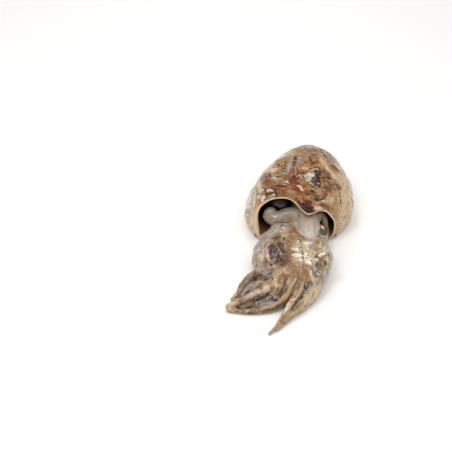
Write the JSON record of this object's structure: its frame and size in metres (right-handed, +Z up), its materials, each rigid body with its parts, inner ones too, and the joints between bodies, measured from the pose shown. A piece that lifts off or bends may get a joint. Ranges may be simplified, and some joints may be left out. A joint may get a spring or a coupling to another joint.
{
  "type": "whole raw cuttlefish",
  "caption": "Whole raw cuttlefish lying belly down: broad mantle with side fins and an open front, short neck, wide head with bulging eyes, and tapering arms fanned out to one side.",
  "frame": {"origin": "on the table, under the middle of the animal's box", "axes": "+Z up, +Y from the arms towards the closed end of the mantle, +X towards the right of a viewer at the arms' end"},
  "size_m": [0.132, 0.2821, 0.0521],
  "materials": {
    "skin": "wet, mottled brown over cream",
    "eyeball": "wet gloss"
  },
  "bodies": {
    "root": {"cuttlefish": "skin", "eye_left": "eyeball", "eye_right": "eyeball"}
  },
  "joints": []
}
